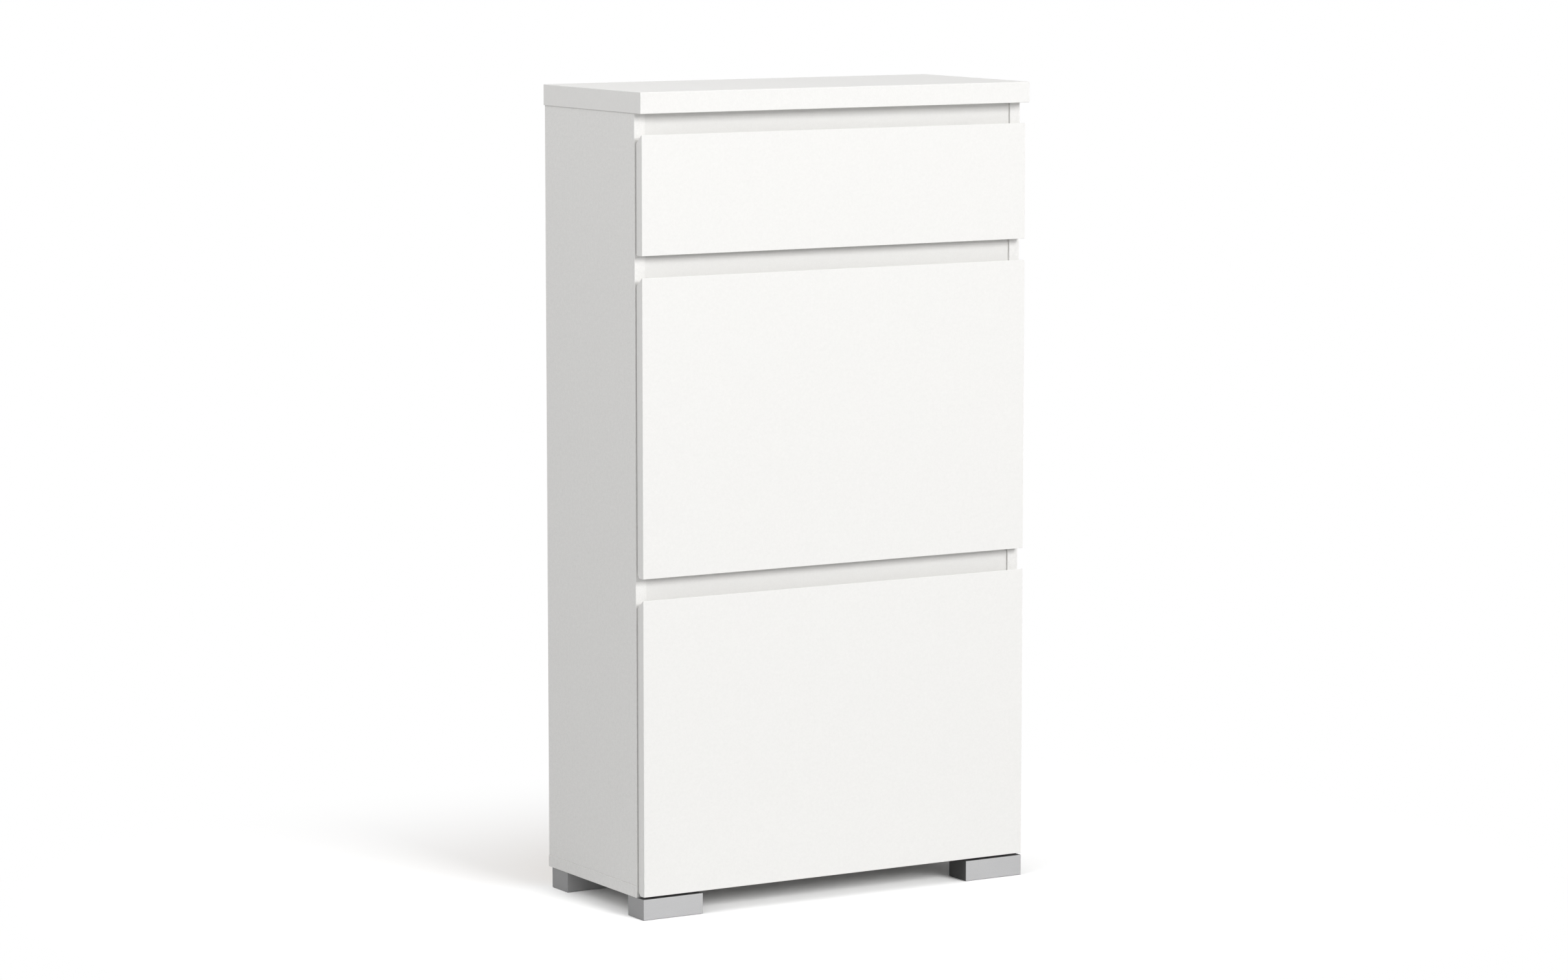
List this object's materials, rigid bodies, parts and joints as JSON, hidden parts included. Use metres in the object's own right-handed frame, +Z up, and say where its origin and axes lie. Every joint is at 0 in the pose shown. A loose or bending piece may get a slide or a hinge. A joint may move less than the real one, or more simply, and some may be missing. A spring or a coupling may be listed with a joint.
{
  "type": "shoe cabinet",
  "caption": "Tall narrow white shoe cabinet: a drawer above tip-out flaps with two shoe pockets each, bevelled grip edges, a thick top and low silver block feet.",
  "frame": {"origin": "on the floor, in the middle of the cabinet's width and depth", "axes": "+X to the right seen from the front, +Y towards the wall, +Z up; the front faces -Y"},
  "size_m": [0.6, 0.266, 1.088],
  "materials": {
    "white_board": "matt white melamine",
    "white_front": "matt white melamine",
    "white_fibreboard": "white lacquered thin board",
    "silver_foot": "satin silver coating",
    "white_runner": "white powder coat",
    "nylon_roller": "moulded nylon",
    "grey_cheek": "fine-textured moulding",
    "zinc_steel": "bright zinc plate",
    "zinc_cam": "raw die cast",
    "beech_dowel": "plain turned beech",
    "clear_bumper": "soft clear pad"
  },
  "bodies": {
    "cabinet": {"back_panel": "white_fibreboard", "bottom_panel": "white_board", "cabinet_runner_left": "white_runner", "cabinet_runner_right": "white_runner", "cabinet_screws": "zinc_steel", "cam_bolts": "zinc_steel", "cam_locks": "zinc_cam", "dowels": "beech_dowel", "foot_front_left": "silver_foot", "foot_front_right": "silver_foot", "foot_rear_left": "silver_foot", "foot_rear_right": "silver_foot", "foot_screws": "zinc_steel", "guide_pins": "zinc_steel", "hinge_arms": "zinc_steel", "hinge_pins": "zinc_steel", "lower_rail": "white_board", "middle_rail": "white_board", "middle_shelf": "white_board", "side_panel_left": "white_board", "side_panel_right": "white_board", "top_panel": "white_board", "top_rail": "white_board", "wall_bracket": "zinc_steel"},
    "drawer": {"drawer_back": "white_board", "drawer_bottom": "white_fibreboard", "drawer_bumpers": "clear_bumper", "drawer_cam_bolts": "zinc_steel", "drawer_cam_locks": "zinc_cam", "drawer_front": "white_front", "drawer_runner_left": "white_runner", "drawer_runner_right": "white_runner", "drawer_screws": "zinc_steel", "drawer_side_left": "white_board", "drawer_side_right": "white_board"},
    "front_roller_left": {"front_roller_left": "nylon_roller"},
    "front_roller_right": {"front_roller_right": "nylon_roller"},
    "lower_flap": {"lower_flap_back_board": "white_fibreboard", "lower_flap_bumpers": "clear_bumper", "lower_flap_cheek_left": "grey_cheek", "lower_flap_cheek_right": "grey_cheek", "lower_flap_divider": "white_fibreboard", "lower_flap_front": "white_front", "lower_flap_front_floor": "white_fibreboard", "lower_flap_hinge_cups": "zinc_steel", "lower_flap_rear_floor": "white_fibreboard", "lower_flap_screws": "zinc_steel"},
    "rear_roller_left": {"rear_roller_left": "nylon_roller"},
    "rear_roller_right": {"rear_roller_right": "nylon_roller"},
    "upper_flap": {"upper_flap_back_board": "white_fibreboard", "upper_flap_bumpers": "clear_bumper", "upper_flap_cheek_left": "grey_cheek", "upper_flap_cheek_right": "grey_cheek", "upper_flap_divider": "white_fibreboard", "upper_flap_front": "white_front", "upper_flap_front_floor": "white_fibreboard", "upper_flap_hinge_cups": "zinc_steel", "upper_flap_rear_floor": "white_fibreboard", "upper_flap_screws": "zinc_steel"}
  },
  "joints": [
    {"name": "drawer_slide", "type": "slide", "parent": "cabinet", "child": "drawer", "axis": [0, -1, 0], "range_m": [0, 0.16]},
    {"name": "upper_flap_tip", "type": "hinge", "parent": "cabinet", "child": "upper_flap", "pos_m": [0, -0.123, 0.4625], "axis": [1, 0, 0], "range_deg": [0, 45]},
    {"name": "lower_flap_tip", "type": "hinge", "parent": "cabinet", "child": "lower_flap", "pos_m": [0, -0.123, 0.04], "axis": [1, 0, 0], "range_deg": [0, 45]},
    {"name": "front_roller_left_spin", "type": "hinge", "parent": "cabinet", "child": "front_roller_left", "pos_m": [-0.2755, -0.0985, 0.89595], "axis": [1, 0, 0], "range_deg": [-10, 1160]},
    {"name": "front_roller_right_spin", "type": "hinge", "parent": "cabinet", "child": "front_roller_right", "pos_m": [0.2755, -0.0985, 0.89595], "axis": [1, 0, 0], "range_deg": [-10, 1160]},
    {"name": "rear_roller_left_spin", "type": "hinge", "parent": "drawer", "child": "rear_roller_left", "pos_m": [-0.2755, 0.088, 0.89505], "axis": [1, 0, 0], "range_deg": [-10, 1160]},
    {"name": "rear_roller_right_spin", "type": "hinge", "parent": "drawer", "child": "rear_roller_right", "pos_m": [0.2755, 0.088, 0.89505], "axis": [1, 0, 0], "range_deg": [-10, 1160]}
  ],
  "couplings": [
    {"joint": "front_roller_left_spin", "follows": "drawer_slide", "rad_per_m": 125},
    {"joint": "front_roller_right_spin", "follows": "drawer_slide", "rad_per_m": 125},
    {"joint": "rear_roller_left_spin", "follows": "drawer_slide", "rad_per_m": 125},
    {"joint": "rear_roller_right_spin", "follows": "drawer_slide", "rad_per_m": 125}
  ]
}
